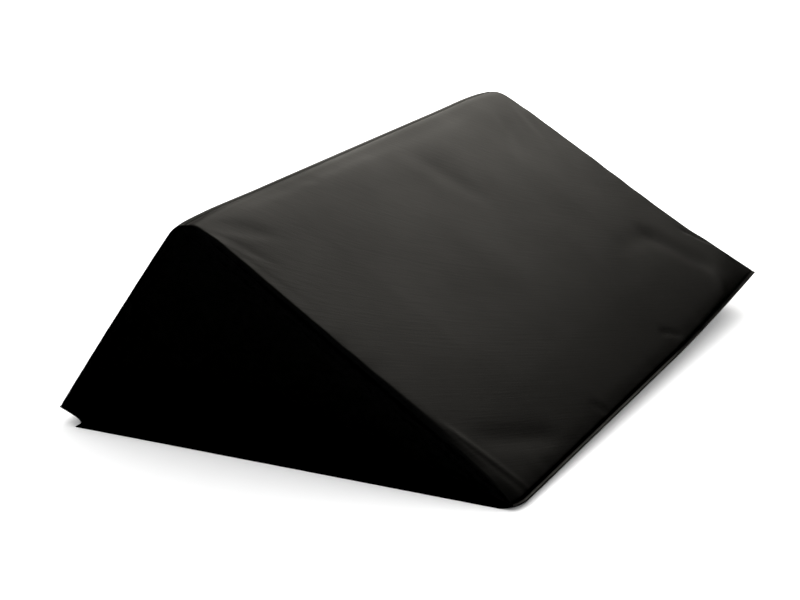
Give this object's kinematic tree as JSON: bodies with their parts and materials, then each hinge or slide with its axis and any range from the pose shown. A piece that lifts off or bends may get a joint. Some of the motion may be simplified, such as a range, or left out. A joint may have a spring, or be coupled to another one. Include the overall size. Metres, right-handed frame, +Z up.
{
  "type": "wedge pillow",
  "caption": "Foam wedge pillow in a smooth black cover: a flat base, a long slope rising to a rounded ridge, a steep back and triangular ends.",
  "frame": {"origin": "on the floor, under the middle of the box around the cushion", "axes": "+X along the ridge, towards the end whose front corner curls up; +Y from the thin front edge to the back; +Z up"},
  "size_m": [0.6098, 0.4351, 0.196],
  "materials": {
    "cover": "black smooth coated fabric with a soft satin sheen"
  },
  "bodies": {
    "root": {"wedge_cushion": "cover"}
  },
  "joints": []
}
